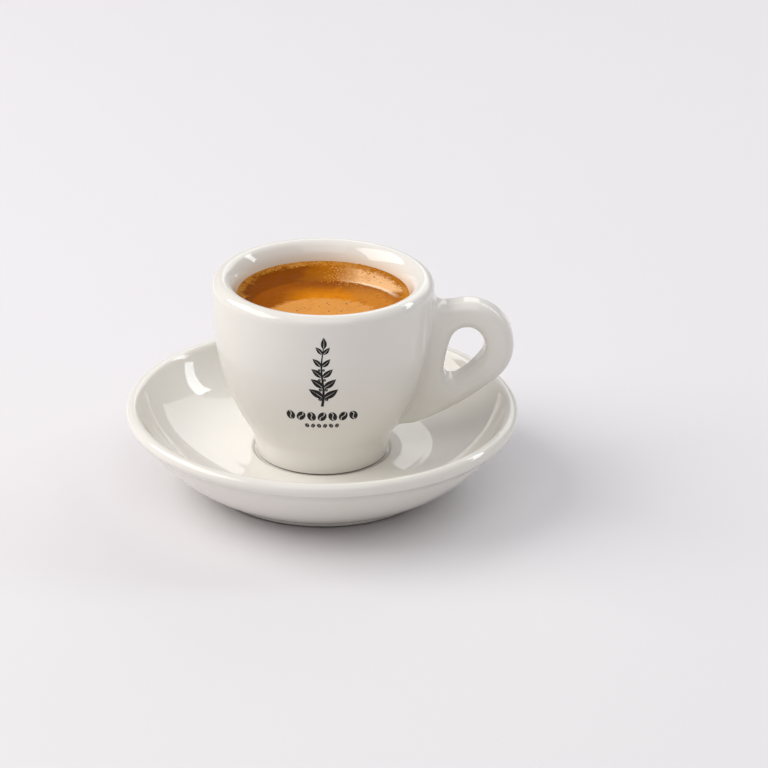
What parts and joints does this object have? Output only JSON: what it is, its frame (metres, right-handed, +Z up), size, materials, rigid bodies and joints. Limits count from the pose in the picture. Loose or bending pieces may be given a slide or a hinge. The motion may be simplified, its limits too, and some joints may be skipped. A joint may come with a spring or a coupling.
{
  "type": "espresso in a cup and saucer",
  "caption": "Espresso with a golden crema in a thick-walled white porcelain cup with a loop handle, standing in the well of its round saucer.",
  "frame": {"origin": "on the table, at the middle of the saucer's foot ring", "axes": "+Z up, +X from the middle of the cup towards its handle, the printed front faces -Y"},
  "size_m": [0.118, 0.118, 0.066],
  "materials": {
    "porcelain": "glossy ivory-white glaze",
    "espresso": "moist golden-brown crema with fine bubbles",
    "print": "dark under-glaze transfer"
  },
  "bodies": {
    "root": {"saucer": "porcelain", "cup": "porcelain", "espresso": "espresso"}
  },
  "joints": []
}
